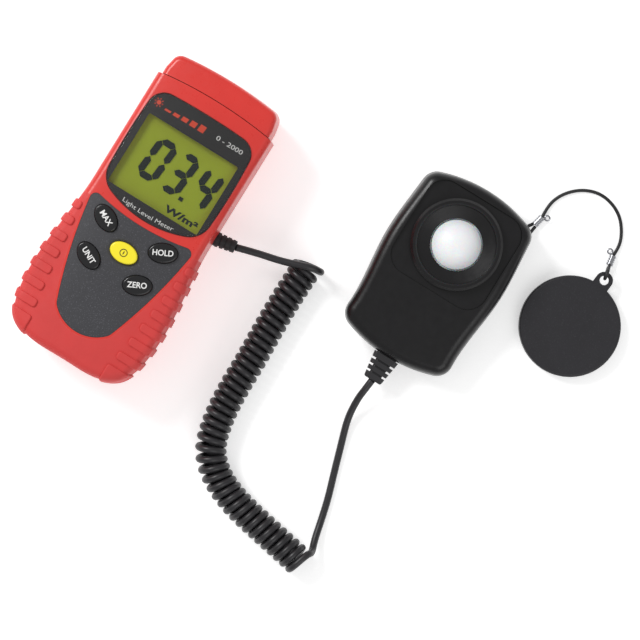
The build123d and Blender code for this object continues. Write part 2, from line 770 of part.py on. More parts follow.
SNAP_Y = BATTERY_TOP_Y + 2.2
with BuildPart() as battery_snap:
    with Locations((0, SNAP_Y, battery_axis_z)):
        Box(24.0, 2.6, 11.0, align=(Align.CENTER, Align.MIN, Align.CENTER))
    fillet(battery_snap.edges().filter_by(Axis.Y), 2.0)
battery_snap.part.label = "battery_snap"
export_step(battery_snap.part, "parts/battery_snap.step")

with BuildPart() as battery_leads:
    for x in (-9.0, 9.0):
        with BuildLine():
            lead = FilletPolyline(
                (x, SNAP_Y + 2.6, battery_axis_z + 3),
                (x, SNAP_Y + 2.6 + 0.5, battery_axis_z + 3),
                (x, SNAP_Y + 2.6 + 0.5, BOARD_BASE),
                radius=0.48,
            )
        with BuildSketch(Plane(lead @ 0, z_dir=lead % 0)):
            Circle(0.45)
        sweep(path=lead)
battery_leads.part.label = "battery_leads"
export_step(battery_leads.part, "parts/battery_leads.step")

with BuildPart() as case_screws:
    with Locations(*[(x, y, PARTING) for x, y in POSTS]):
        Cylinder(2.2, 2.0, align=(Align.CENTER, Align.CENTER, Align.MAX))
        Cylinder(SCREW_R, BOARD_BASE + 7.5 - PARTING, align=(Align.CENTER, Align.CENTER, Align.MIN))
    with Locations(*[(x, y, PARTING - 2.0) for x, y in POSTS]):
        Box(0.5, 3.0, 1.2, mode=Mode.SUBTRACT)
        Box(3.0, 0.5, 1.2, mode=Mode.SUBTRACT)
case_screws.part.label = "case_screws"
export_step(case_screws.part, "parts/case_screws.step")


# ---- Cord --------------------------------------------------------------------------------------

# Middle of the cord from the strain relief on the housing to where it rests on the coil
LEAD_IN = (
    tuple(meter_boot_tip),
    (45.6, 12.3, 14.1),
    (54.4, 14.3, 13.4),
    (62.0, 16.9, 14.0),
    (67.5, 18.3, 13.0),
)
# Middle of the coil, on the surface the object lies on
COIL_ROUTE = (
    (65.6, 19.6, 6.65),
    (65.0, 5.0, 6.65),
    (65.3, -12.0, 6.65),
    (66.0, -27.0, 6.65),
    (66.0, -41.0, 6.65),
    (67.1, -54.0, 6.65),
    (70.4, -66.6, 6.65),
    (78.4, -74.6, 6.65),
    (91.0, -80.0, 6.65),
    (107.5, -83.2, 6.65),
    (126.6, -86.7, 6.65),
)
# Middle of the cord from the coil to the strain relief on the sensor head
LEAD_OUT = (
    (126.3, -88.2, 8.2),
    (128.9, -82.0, 7.6),
    (127.9, -75.0, 4.0),
    (125.6, -67.0, 1.8),
    (123.1, -58.5, 1.5),
    (119.4, -47.5, 1.5),
    (115.9, -36.5, 1.7),
    (112.6, -26.5, 2.9),
    (111.7, -17.5, 6.3),
    (112.4, -12.1, 8.7),
    (112.7, -8.5, 9.0),
)


def cord_path(name, points, diameter):
    """The line of one stretch of cord, each corner rounded as far as its two runs allow."""
    places = [Vector(*point) for point in points]
    radii = []
    for before, corner, after in zip(places, places[1:], places[2:]):
        run_in = corner - before
        run_out = after - corner
        half_turn = math.radians(run_in.get_angle(run_out)) / 2
        radii.append(0.45 * min(run_in.length, run_out.length) / math.tan(half_turn))
    path = FilletPolyline(*places, radius=radii)
    print(f"{name}: {path.length:.1f} mm long, radii", [round(radius, 1) for radius in radii])
    print(f"{name}: tightest radius is {min(radii) / diameter:.1f} diameters")
    return path


lead_in_path = cord_path("cord_lead_meter", LEAD_IN, CORD_D)
with BuildPart() as cord_lead_meter:
    with BuildLine():
        add(lead_in_path)
    with BuildSketch(Plane(lead_in_path @ 0, z_dir=lead_in_path % 0)):
        Circle(CORD_D / 2)
    sweep(path=lead_in_path)
cord_lead_meter.part.label = "cord_lead_meter"
export_step(cord_lead_meter.part, "parts/cord_lead_meter.step")

coil_path = cord_path("cord_coil", COIL_ROUTE, CORD_D)
with BuildPart() as cord_coil:
    with BuildLine():
        add(coil_path)
    with BuildSketch(Plane(coil_path @ 0, z_dir=coil_path % 0)):
        Circle(COIL_D / 2)
    sweep(path=coil_path)
cord_coil.part.label = "cord_coil"
export_step(cord_coil.part, "parts/cord_coil.step")

lead_out_path = cord_path("cord_lead_head", LEAD_OUT, CORD_D)
with BuildPart() as cord_lead_head:
    with BuildLine():
        add(lead_out_path)
    with BuildSketch(Plane(lead_out_path @ 0, z_dir=lead_out_path % 0)):
        Circle(CORD_D / 2)
    sweep(path=lead_out_path)
cord_lead_head.part.label = "cord_lead_head"
export_step(cord_lead_head.part, "parts/cord_lead_head.step")

BOOT_RINGS = 4
with BuildPart() as meter_strain_relief:
    with BuildSketch(meter_exit_plane.offset(BOOT_FLANGE[0])):
        Circle(BOOT_FLANGE[2])
    extrude(amount=BOOT_FLANGE[1])
    with BuildSketch(meter_exit_plane.offset(BOOT_FLANGE[0] + 0.1)):
        Circle(BOOT_NECK_R)
    extrude(amount=BOOT_START - BOOT_FLANGE[0])
    with BuildSketch(meter_exit_plane.offset(BOOT_START)):
        Circle(BOOT_ROOT_R)
    with BuildSketch(meter_exit_plane.offset(BOOT_LENGTH)):
        Circle(BOOT_TIP_R)
    loft()
    for ring in range(1, BOOT_RINGS):
        with BuildSketch(meter_exit_plane.offset(ring * BOOT_LENGTH / BOOT_RINGS)):
            Circle(BOOT_ROOT_R + 1)
            Circle(BOOT_TIP_R - 0.15, mode=Mode.SUBTRACT)
        extrude(amount=0.35, both=True, mode=Mode.SUBTRACT)
    fillet(meter_strain_relief.edges().sort_by(Axis.X)[-1], 0.6)
meter_strain_relief.part.label = "meter_strain_relief"
export_step(meter_strain_relief.part, "parts/meter_strain_relief.step")

with BuildPart() as cord_cores:
    for rise in (-1.6, 1.6):
        inner = meter_exit_plane.from_local_coords((0, 0, BOOT_FLANGE[0] - 0.25))
        with BuildLine():
            core = FilletPolyline(
                (inner.X, inner.Y + rise / 2, inner.Z),
                (inner.X - 1.2, inner.Y + rise / 2, inner.Z),
                (HEADER[0] + 0.4, HEADER[1] + rise, HEADER[2] - 1.6),
                (HEADER[0] + 0.4, HEADER[1] + rise, HEADER[2]),
                radius=0.5,
            )
        with BuildSketch(Plane(core @ 0, z_dir=core % 0)):
            Circle(0.4)
        sweep(path=core)
cord_cores.part.label = "cord_cores"
export_step(cord_cores.part, "parts/cord_cores.step")


# ---- Sensor head -------------------------------------------------------------------------------

head_boot_length = HEAD_BOOT_ROOT_Y - HEAD_BOOT_TIP[1]
head_exit_plane = Plane(
    origin=(HEAD_X, HEAD_BOOT_ROOT_Y, HEAD_BOOT_TIP[2]), x_dir=(1, 0, 0), z_dir=(0, -1, 0)
)
with BuildPart() as head_strain_relief:
    with BuildSketch(head_exit_plane.offset(-5.6)):
        RectangleRounded(9.0, 5.6, 1.2)
    extrude(amount=6.0)
    with BuildSketch(head_exit_plane.offset(-5.6)):
        RectangleRounded(12.0, 8.0, 1.6)
    extrude(amount=1.4)
    with BuildSketch(head_exit_plane.offset(0.1)):
        RectangleRounded(11.2, 7.6, 1.6)
    with BuildSketch(head_exit_plane.offset(head_boot_length)):
        RectangleRounded(7.9, 5.6, 1.6)
    loft()
    tip = head_strain_relief.faces().sort_by(Axis.Y)[0]
    fillet(tip.edges(), 0.9)
    for ring in range(1, 4):
        with BuildSketch(head_exit_plane.offset(0.4 + ring * (head_boot_length - 0.8) / 4)):
            Rectangle(14, 12)
            RectangleRounded(7.4 - 0.6 * ring, 4.8 - 0.3 * ring, 1.2, mode=Mode.SUBTRACT)
        extrude(amount=0.4, both=True, mode=Mode.SUBTRACT)
head_strain_relief.part.label = "head_strain_relief"
export_step(head_strain_relief.part, "parts/head_strain_relief.step")

head_front_full = head_block(HEAD_SPLIT + SPLIT_GAP, 30.0, 0.0, HEAD_EDGE)
head_rear_full = head_block(0.0, HEAD_SPLIT, 0.0, HEAD_REAR_EDGE)
neck_slot = Plane((HEAD_X, HEAD_BOOT_ROOT_Y - 3, HEAD_BOOT_TIP[2]))
tether_post = at_head(*TETHER_POST)


def recess_plan(shrink):
    """Plan of the recess in the sensor head's face."""
    half, bottom, top, corner = RECESS
    with BuildSketch() as plan:
        with Locations((HEAD_X, HEAD_Y + (bottom + top) / 2)):
            RectangleRounded(2 * (half - shrink), top - bottom - 2 * shrink, corner - shrink)
    return plan.sketch


# The ledge under the recess, drawn into the middle of the walls around it
recess_ledge = prism(recess_plan(-4.5), 16.2, 25.0)
recess_ledge &= head_block(HEAD_SPLIT + SPLIT_GAP, 30.0, HEAD_WALL / 2, HEAD_EDGE)

with BuildPart() as head_front_case:
    add(head_front_full)
    add(head_block(HEAD_SPLIT + SPLIT_GAP, 30.0, HEAD_WALL, HEAD_EDGE), mode=Mode.SUBTRACT)
    add(recess_ledge)
    with Locations(*[at_head(x, y, SENSOR_BOARD_BASE) for x, y in HEAD_POSTS]):
        Cylinder(2.6, 5.4, align=(Align.CENTER, Align.CENTER, Align.MIN))
    add(prism(recess_plan(0.0), PLATE_TOP - PLATE_THICK, 30), mode=Mode.SUBTRACT)
    with Locations(at_head(0, DOME_Y, 10)):
        Cylinder(OPTIC_BORE, 20, align=(Align.CENTER, Align.CENTER, Align.MIN), mode=Mode.SUBTRACT)
    with Locations(*[at_head(x, y, SENSOR_BOARD_BASE - 0.5) for x, y in HEAD_POSTS]):
        Cylinder(0.92, 5.4, align=(Align.CENTER, Align.CENTER, Align.MIN), mode=Mode.SUBTRACT)
    with Locations(neck_slot):
        Box(9.1, 12.0, 5.7, mode=Mode.SUBTRACT)
head_front_case.part.label = "head_front_case"
export_step(head_front_case.part, "parts/head_front_case.step")

with BuildSketch() as tether_boss_plan:
    with Locations(tether_post[:2]):
        Circle(TETHER_BOSS_R)
tether_boss = prism(tether_boss_plan.sketch, 1.0, HEAD_SPLIT) & head_rear_full

with BuildPart() as head_rear_case:
    add(head_rear_full)
    add(head_block(HEAD_WALL, HEAD_SPLIT, HEAD_WALL, HEAD_REAR_EDGE), mode=Mode.SUBTRACT)
    with Locations(*[at_head(x, y, 1.0) for x, y in HEAD_POSTS]):
        Cylinder(2.6, SENSOR_BOARD_BASE - 1.2, align=(Align.CENTER, Align.CENTER, Align.MIN))
    add(tether_boss)
    with Locations(*[at_head(x, y, -1) for x, y in HEAD_POSTS]):
        Cylinder(1.1, 20, align=(Align.CENTER, Align.CENTER, Align.MIN), mode=Mode.SUBTRACT)
        Cylinder(2.2, 6, align=(Align.CENTER, Align.CENTER, Align.MIN), mode=Mode.SUBTRACT)
    with Locations((*tether_post[:2], TETHER_SLOT[0])):
        slot_height = TETHER_SLOT[1] - TETHER_SLOT[0]
        Cylinder(3.9, slot_height, align=(Align.CENTER, Align.CENTER, Align.MIN), mode=Mode.SUBTRACT)
        Cylinder(TETHER_POST_R, slot_height, align=(Align.CENTER, Align.CENTER, Align.MIN))
    with Locations(neck_slot):
        Box(9.1, 12.0, 5.7, mode=Mode.SUBTRACT)
head_rear_case.part.label = "head_rear_case"
export_step(head_rear_case.part, "parts/head_rear_case.step")

dome_axis = at_head(0, DOME_Y)
dome_plane = Plane(dome_axis, x_dir=(1, 0, 0), z_dir=(0, -1, 0))
with BuildPart() as sensor_bezel:
    add(prism(recess_plan(0.12), PLATE_TOP - PLATE_THICK + 0.02, PLATE_TOP))
    with BuildSketch(Plane.XY.offset(PLATE_TOP - PLATE_THICK + 0.02)):
        with Locations(dome_axis[:2]):
            Circle(DOME_R + 0.7)
    extrude(amount=10, mode=Mode.SUBTRACT)
    with BuildSketch(dome_plane):
        with BuildLine():
            Polyline(
                (DOME_R + 0.7, PLATE_TOP - 0.6),
                (COLLAR_R, PLATE_TOP - 0.6),
                (COLLAR_R, COLLAR_TOP - 1.0),
                (COLLAR_R - 1.0, COLLAR_TOP),
                (COLLAR_INNER_R + 0.6, COLLAR_TOP),
                (COLLAR_INNER_R, COLLAR_TOP - 0.6),
                (COLLAR_INNER_R - 0.2, COLLAR_TOP - 2.0),
                (DOME_R + 0.7, DOME_BASE),
                close=True,
            )
        make_face()
    revolve(axis=Axis(dome_axis, (0, 0, 1)))
    with BuildSketch(Plane.XY.offset(PLATE_TOP - PLATE_THICK)):
        with Locations(dome_axis[:2]):
            Circle(12.2)
            Circle(11.0, mode=Mode.SUBTRACT)
    extrude(amount=0.9, mode=Mode.SUBTRACT)
sensor_bezel.part.label = "sensor_bezel"
export_step(sensor_bezel.part, "parts/sensor_bezel.step")

dome_flange_base = PLATE_TOP - PLATE_THICK - 0.1 - DOME_FLANGE[1]
dome_sphere_r = (DOME_R**2 + DOME_RISE**2) / (2 * DOME_RISE)
dome_centre = at_head(0, DOME_Y, DOME_BASE + DOME_RISE - dome_sphere_r)


def domed_column(inset):
    """The diffuser's outline, filled and running down past its flange, with every wall moved in."""
    with BuildPart() as column:
        with Locations(dome_centre):
            Sphere(dome_sphere_r - inset)
            Cylinder(DOME_R - inset, 40, mode=Mode.INTERSECT)
    return column.part


with BuildPart() as diffuser_dome:
    add(domed_column(0.0))
    split(bisect_by=Plane.XY.offset(dome_flange_base), keep=Keep.TOP)
    with Locations(at_head(0, DOME_Y, dome_flange_base)):
        Cylinder(*DOME_FLANGE, align=(Align.CENTER, Align.CENTER, Align.MIN))
    add(domed_column(DOME_WALL), mode=Mode.SUBTRACT)
diffuser_dome.part.label = "diffuser_dome"
export_step(diffuser_dome.part, "parts/diffuser_dome.step")

with BuildPart() as dome_seal:
    with Locations(at_head(0, DOME_Y, dome_flange_base + DOME_FLANGE[1] + 0.5)):
        Torus(11.6, 0.46)
dome_seal.part.label = "dome_seal"
export_step(dome_seal.part, "parts/dome_seal.step")

sensor_board_top = SENSOR_BOARD_BASE + 1.6
with BuildPart() as sensor_board:
    with Locations(at_head(0, 6.5, SENSOR_BOARD_BASE)):
        Box(30.0, 37.0, 1.6, align=(Align.CENTER, Align.CENTER, Align.MIN))
    fillet(sensor_board.edges().filter_by(Axis.Z), 2.0)
sensor_board.part.label = "sensor_board"
export_step(sensor_board.part, "parts/sensor_board.step")

with BuildPart() as photodiode:
    with Locations(at_head(0, DOME_Y, sensor_board_top)):
        Cylinder(4.6, 0.6, align=(Align.CENTER, Align.CENTER, Align.MIN))
        Cylinder(4.1, 2.4, align=(Align.CENTER, Align.CENTER, Align.MIN))
photodiode.part.label = "photodiode"
export_step(photodiode.part, "parts/photodiode.step")

with BuildPart() as filter_glass:
    with Locations(at_head(0, DOME_Y, sensor_board_top + 2.5)):
        Cylinder(7.0, 1.2, align=(Align.CENTER, Align.CENTER, Align.MIN))
filter_glass.part.label = "filter_glass"
export_step(filter_glass.part, "parts/filter_glass.step")

with BuildPart() as filter_holder:
    with Locations(at_head(0, DOME_Y, sensor_board_top)):
        Cylinder(8.2, 3.9, align=(Align.CENTER, Align.CENTER, Align.MIN))
        Cylinder(5.4, 2.48, align=(Align.CENTER, Align.CENTER, Align.MIN), mode=Mode.SUBTRACT)
    with Locations(at_head(0, DOME_Y, sensor_board_top + 2.48)):
        Cylinder(7.02, 5, align=(Align.CENTER, Align.CENTER, Align.MIN), mode=Mode.SUBTRACT)
filter_holder.part.label = "filter_holder"
export_step(filter_holder.part, "parts/filter_holder.step")

with BuildPart() as head_screws:
    with Locations(*[at_head(x, y, 5.0) for x, y in HEAD_POSTS]):
        Cylinder(1.9, 1.5, align=(Align.CENTER, Align.CENTER, Align.MAX))
        Cylinder(0.9, 10.5, align=(Align.CENTER, Align.CENTER, Align.MIN))
    with Locations(*[at_head(x, y, 3.5) for x, y in HEAD_POSTS]):
        Box(0.5, 2.6, 1.0, mode=Mode.SUBTRACT)
        Box(2.6, 0.5, 1.0, mode=Mode.SUBTRACT)
head_screws.part.label = "head_screws"
export_step(head_screws.part, "parts/head_screws.step")

with BuildPart() as head_cores:
    for side in (-1.6, 1.6):
        with BuildLine():
            core = FilletPolyline(
                (HEAD_X + side, HEAD_BOOT_ROOT_Y + 5.8, HEAD_BOOT_TIP[2]),
                (HEAD_X + side, HEAD_BOOT_ROOT_Y + 12.0, HEAD_BOOT_TIP[2] - 1.0),
                (HEAD_X + 1.5 * side, HEAD_Y - 6.0, HEAD_BOOT_TIP[2] - 1.2),
                (HEAD_X + 1.5 * side, HEAD_Y - 4.5, SENSOR_BOARD_BASE - 0.25),
                radius=0.9,
            )
        with BuildSketch(Plane(core @ 0, z_dir=core % 0)):
            Circle(0.4)
        sweep(path=core)
head_cores.part.label = "head_cores"
export_step(head_cores.part, "parts/head_cores.step")


# ---- Sensor cap and tether ---------------------------------------------------------------------

ear_turn = math.radians(EAR_TURN)
ear_way = Vector(math.sin(ear_turn), math.cos(ear_turn), 0)
lid_middle = Vector(LID_X, LID_Y, 0)
ear_middle = lid_middle + ear_way * EAR_REACH
with BuildPart() as sensor_cap:
    with Locations((LID_X, LID_Y, 0)):
        Cylinder(LID_R, LID_HEIGHT, align=(Align.CENTER, Align.CENTER, Align.MIN))
        Cylinder(
            LID_INNER_R,
            LID_HEIGHT - LID_PLATE,
            align=(Align.CENTER, Align.CENTER, Align.MIN),
            mode=Mode.SUBTRACT,
        )
    fillet(sensor_cap.edges().group_by(Axis.Z)[-1], LID_EDGE)
    with BuildSketch(Plane.XY.offset(LID_HEIGHT - LID_PLATE)):
        with BuildLine():
            across = Vector(ear_way.Y, -ear_way.X, 0)
            root = lid_middle + ear_way * (LID_R - 1.5)
            Polyline(
                root - across * EAR_R,
                ear_middle - across * EAR_R,
                ear_middle + across * EAR_R,
                root + across * EAR_R,
                close=True,
            )
        make_face()
        with Locations(ear_middle):
            Circle(EAR_R)
    extrude(amount=LID_PLATE - 0.1)
    with Locations(ear_middle):
        Cylinder(EAR_HOLE_R, 40, mode=Mode.SUBTRACT)
sensor_cap.part.label = "sensor_cap"
export_step(sensor_cap.part, "parts/sensor_cap.step")

# The tether's crimps: where the loop leaves, where the single cord leaves and the eyelet's middle
CRIMP_Z = 1.6
HEAD_CRIMP = ((136.3, 82.5, CRIMP_Z), (137.3, 86.8, CRIMP_Z), (139.35, 87.55, CRIMP_Z))
LID_CRIMP = ((171.3, 84.4, CRIMP_Z), (170.6, 88.8, CRIMP_Z), (168.55, 89.6, CRIMP_Z))
TETHER_ROUTE = (
    HEAD_CRIMP[1],
    (136.9, 91.2, 0.9),
    (138.1, 96.8, 0.8),
    (141.4, 101.8, 0.8),
    (146.4, 105.8, 0.8),
    (152.6, 107.8, 0.8),
    (159.0, 106.9, 0.8),
    (164.6, 103.9, 0.8),
    (168.6, 98.9, 0.8),
    (170.9, 93.4, 0.9),
    LID_CRIMP[1],
)

tether_path = cord_path("tether_cord", TETHER_ROUTE, TETHER_D)
with BuildPart() as tether_cord:
    with BuildLine():
        add(tether_path)
    with BuildSketch(Plane(tether_path @ 0, z_dir=tether_path % 0)):
        Circle(TETHER_D / 2)
    sweep(path=tether_path)
tether_cord.part.label = "tether_cord"
export_step(tether_cord.part, "parts/tether_cord.step")

for node, (loop_end, cord_end, eyelet) in (("crimp_head", HEAD_CRIMP), ("crimp_cap", LID_CRIMP)):
    length = (Vector(*cord_end) - Vector(*loop_end)).length
    with BuildPart() as crimp:
        sleeve = Plane(loop_end, z_dir=Vector(*cord_end) - Vector(*loop_end))
        with BuildSketch(sleeve):
            Circle(CRIMP_R)
        extrude(amount=length)
        fillet(crimp.edges(), 0.25)
        for step in (0.3, 0.5, 0.7):
            with BuildSketch(sleeve.offset(step * length)):
                Circle(CRIMP_R + 1)
                Circle(CRIMP_R - 0.25, mode=Mode.SUBTRACT)
            extrude(amount=0.22, both=True, mode=Mode.SUBTRACT)
        with Locations(eyelet):
            Torus(EYELET_R, EYELET_WIRE_R)
    crimp.part.label = node
    export_step(crimp.part, f"parts/{node}.step")

# Each loop of the tether goes round a bar: its middle, the way across the loop and its crimp. The
# cap's bar is the rim of the ear's hole on the side that faces the crimp
post_middle = Vector(*tether_post[:2], 4.2)
bar_way = (Vector(*LID_CRIMP[0][:2]) - ear_middle).normalized()
bar_middle = ear_middle + bar_way * (EAR_HOLE_R + EAR_R) / 2
bar_middle += Vector(0, 0, LID_HEIGHT - LID_PLATE / 2 - 0.05)
NOOSES = (
    ("tether_head_loop", post_middle, Vector(1, -0.3, 0), TETHER_POST_R + 1.0, HEAD_CRIMP),
    ("tether_cap_loop", bar_middle, Vector(0, 0, 1), EAR_LOOP_R, LID_CRIMP),
)
for node, middle, across, loop_r, crimp_places in NOOSES:
    reach = Vector(*crimp_places[0]) - middle
    noose_plane = Plane(middle, x_dir=reach, z_dir=reach.cross(across))
    leg_end = reach.length - 0.4
    leg_spread = TETHER_D / 2 + 0.04
    touch = math.atan2(leg_spread, leg_end) + math.acos(loop_r / math.hypot(leg_end, leg_spread))
    with BuildPart() as noose:
        with BuildLine(noose_plane) as loop:
            touch_x = loop_r * math.cos(touch)
            touch_y = loop_r * math.sin(touch)
            leg = Line((leg_end, leg_spread), (touch_x, touch_y))
            ThreePointArc((touch_x, touch_y), (-loop_r, 0), (touch_x, -touch_y))
            Line((touch_x, -touch_y), (leg_end, -leg_spread))
        with BuildSketch(Plane(leg @ 0, z_dir=leg % 0)):
            Circle(TETHER_D / 2)
        sweep(path=loop.line)
    noose.part.label = node
    export_step(noose.part, f"parts/{node}.step")
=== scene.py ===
"""Looks of the hand-held light meter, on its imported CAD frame. Metres, in the CAD's frame."""

import json
import math

import bmesh
import bpy
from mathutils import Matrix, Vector
from mathutils.bvhtree import BVHTree

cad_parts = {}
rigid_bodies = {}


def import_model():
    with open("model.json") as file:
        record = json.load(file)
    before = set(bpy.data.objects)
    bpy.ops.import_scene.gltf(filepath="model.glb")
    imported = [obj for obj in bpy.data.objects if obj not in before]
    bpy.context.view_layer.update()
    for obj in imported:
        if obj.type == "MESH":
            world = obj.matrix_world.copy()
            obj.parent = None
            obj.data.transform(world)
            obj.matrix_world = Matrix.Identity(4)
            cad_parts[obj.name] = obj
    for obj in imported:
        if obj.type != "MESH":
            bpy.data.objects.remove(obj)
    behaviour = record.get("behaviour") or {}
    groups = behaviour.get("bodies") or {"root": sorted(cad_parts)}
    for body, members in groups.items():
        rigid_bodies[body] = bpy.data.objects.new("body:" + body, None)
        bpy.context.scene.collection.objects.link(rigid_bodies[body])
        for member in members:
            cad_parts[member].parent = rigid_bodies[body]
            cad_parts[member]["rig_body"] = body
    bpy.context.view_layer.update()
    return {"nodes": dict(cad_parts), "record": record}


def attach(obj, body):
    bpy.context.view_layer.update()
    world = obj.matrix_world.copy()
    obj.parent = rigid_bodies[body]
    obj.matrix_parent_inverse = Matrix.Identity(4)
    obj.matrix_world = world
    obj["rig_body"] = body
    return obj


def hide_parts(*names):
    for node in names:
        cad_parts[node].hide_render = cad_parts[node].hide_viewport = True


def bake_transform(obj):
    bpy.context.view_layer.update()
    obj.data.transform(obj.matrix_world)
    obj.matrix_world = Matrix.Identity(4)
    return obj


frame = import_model()
nodes = frame["nodes"]
scene = bpy.context.scene
MM = 0.001


def linked(name, data):
    """A new object for this data, in the scene."""
    made = bpy.data.objects.new(name, data)
    scene.collection.objects.link(made)
    return made


# ---- Camera -------------------------------------------------------------------------------------

FIELD = 0.262  # across the picture, at the middle of the object's height
CAMERA_RISE = 1.4
SENSOR = 36
camera_data = bpy.data.cameras.new("camera")
camera_data.sensor_width = SENSOR
camera_data.lens = SENSOR * CAMERA_RISE / FIELD
camera = linked("camera", camera_data)
camera.location = (0.0815, 0.0024, 0.015 + CAMERA_RISE)
camera.rotation_euler = (0, 0, math.radians(31.72))
scene.camera = camera
scene.view_settings.view_transform = "Standard"


# ---- Cords --------------------------------------------------------------------------------------

CORD_R = 1.5 * MM
WIND_R = 5.1 * MM  # coil axis to the middle of its strand
COIL_Z = 6.65  # height of the coil's axis, in millimetres like the routes below
PITCH = 3.45 * MM
TIGHT_PITCH = 3.05 * MM  # least pitch on the inside of a bend
TETHER_R = 0.7 * MM
COIL_STEP = 0.16 * MM  # spacing of the points along each line
LEAD_STEP = 0.8 * MM
TETHER_STEP = 0.5 * MM
TUBE_SIDES = 12

COIL_ROUTE = [
    (65.6, 19.6),
    (65.0, 5.0),
    (65.3, -12.0),
    (66.0, -27.0),
    (66.0, -41.0),
    (67.1, -54.0),
    (70.4, -66.6),
    (78.4, -74.6),
    (91.0, -80.0),
    (107.5, -83.2),
    (126.6, -86.7),
]
# From the meter's strain relief over the coil's first turn, round and under it
LEAD_IN = [
    (36.49, 9.58, 15.0),
    (45.6, 12.3, 14.1),
    (54.4, 14.3, 13.4),
    (62.0, 16.9, 14.2),
    (67.4, 18.9, 14.4),
    (71.3, 19.3, 11.6),
    (71.6, 19.4, 5.0),
    (67.6, 19.2, 1.6),
    (62.6, 18.2, 1.6),
    (60.4, 17.2, 4.0),
    (60.4, 17.0, 6.65),
]
# Over the coil's last turn, down to the floor and up into the head's strain relief
LEAD_OUT = [
    (124.4, -91.5, 6.65),
    (124.7, -91.6, 11.75),
    (127.8, -81.6, 11.6),
    (129.2, -81.2, 6.5),
    (127.3, -76.0, 3.4),
    (125.4, -67.5, 1.6),
    (123.1, -58.5, 1.5),
    (119.4, -47.5, 1.5),
    (115.9, -36.5, 1.7),
    (112.6, -26.5, 2.9),
    (111.7, -17.5, 6.3),
    (112.3, -11.5, 8.7),
    (112.7, -7.3, 9.0),
]
TETHER_ROUTE = [
    (137.3, 86.8, 1.6),
    (136.9, 91.2, 0.9),
    (138.1, 96.8, 0.8),
    (141.4, 101.8, 0.8),
    (146.4, 105.8, 0.8),
    (152.6, 107.8, 0.8),
    (159.0, 106.9, 0.8),
    (164.6, 103.9, 0.8),
    (168.6, 98.9, 0.8),
    (170.9, 93.4, 0.9),
    (170.6, 88.8, 1.6),
]


def route(name, places):
    """A smooth open curve with these places, in millimetres, as its control points."""
    data = bpy.data.curves.new(name, "CURVE")
    data.dimensions = "3D"
    data.resolution_u = 32
    spline = data.splines.new("NURBS")
    spline.points.add(len(places) - 1)
    for point, place in zip(spline.points, places):
        point.co = (place[0] * MM, place[1] * MM, place[2] * MM, 1.0)
    spline.order_u = 3
    spline.use_endpoint_u = True
    return linked(name, data)


def line_of(places):
    """Points along the smooth curve that a route's places control."""
    curve = route("route", places)
    mesh = bpy.data.meshes.new_from_object(curve)
    line = [v.co.copy() for v in mesh.vertices]
    bpy.data.meshes.remove(mesh)
    bpy.data.objects.remove(curve)
    return line


def even(line, step):
    """The same line with its points about one step apart."""
    gaps = [(b - a).length for a, b in zip(line, line[1:])]
    total = sum(gaps)
    count = round(total / step)
    out = []
    walked = 0.0
    i = 0
    for k in range(count + 1):
        want = total * k / count
        while i < len(gaps) - 1 and walked + gaps[i] < want:
            walked += gaps[i]
            i += 1
        out.append(line[i].lerp(line[i + 1], (want - walked) / gaps[i]))
    return out


def nearest(line, place):
    """Index of the line's point nearest to a place in millimetres."""
    place = Vector(place) * MM
    return min(range(len(line)), key=lambda i: (line[i] - place).length)


def wound(axis):
    """Left-handed helix about the axis, from one left-hand bump to another."""
    reach = 12  # points to either side that give the direction and the curvature
    last = len(axis) - 1
    ways = []
    for i in range(len(axis)):
        way = axis[min(i + reach, last)] - axis[max(i - reach, 0)]
        ways.append(way.normalized())
    turns = [0.0]
    for i in range(last):
        a = max(i - reach, 0)
        b = min(i + reach, last)
        bend = ways[a].angle(ways[b]) / ((axis[b] - axis[a]).length)
        step = (axis[i + 1] - axis[i]).length
        turns.append(turns[-1] + step / max(PITCH, TIGHT_PITCH / (1 - WIND_R * bend)))
    whole = round(turns[-1])
    up = Vector((0, 0, 1))
    strand = []
    for place, way, turn in zip(axis, ways, turns):
        phase = math.pi - 2 * math.pi * turn * whole / turns[-1]
        side = up.cross(way)
        strand.append(place + WIND_R * (math.cos(phase) * side + math.sin(phase) * up))
    return strand


def tube(name, line, radius, sides):
    """A closed tube along a line, its rings turned as little as possible."""
    bm = bmesh.new()
    rings = []
    across = Vector((0, 0, 1))
    for i, place in enumerate(line):
        way = (line[min(i + 1, len(line) - 1)] - line[max(i - 1, 0)]).normalized()
        across = (across - across.dot(way) * way).normalized()
        other = way.cross(across)
        ring = []
        for k in range(sides):
            turn = 2 * math.pi * k / sides
            ring.append(
                bm.verts.new(place + radius * (math.cos(turn) * across + math.sin(turn) * other))
            )
        rings.append(ring)
    for a, b in zip(rings, rings[1:]):
        for k in range(sides):
            n = (k + 1) % sides
            bm.faces.new((a[k], a[n], b[n], b[k])).smooth = True
    bm.faces.new(rings[0][::-1])
    bm.faces.new(rings[-1])
    mesh = bpy.data.meshes.new(name)
    bm.to_mesh(mesh)
    bm.free()
    return linked(name, mesh)


coil_axis = even(line_of([(x, y, COIL_Z) for x, y in COIL_ROUTE]), COIL_STEP)
# The winding is regular between these two places on the axis, and the leads finish it
coil_start = nearest(coil_axis, (65.5, 17.0, COIL_Z))
coil_end = nearest(coil_axis, (125.3, -86.5, COIL_Z))
coil_strand = wound(coil_axis[coil_start : coil_end + 1])
LEAD_IN[-1] = tuple(coil_strand[0] / MM)
LEAD_OUT[0] = tuple(coil_strand[-1] / MM)
lead_in = even(line_of(LEAD_IN), LEAD_STEP)
lead_out = even(line_of(LEAD_OUT), LEAD_STEP)
cord_line = lead_in[:-1] + coil_strand + lead_out[1:]
cord = tube("curly_cord", cord_line, CORD_R, TUBE_SIDES)
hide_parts("cord_lead_meter", "cord_coil", "cord_lead_head")
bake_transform(cord)

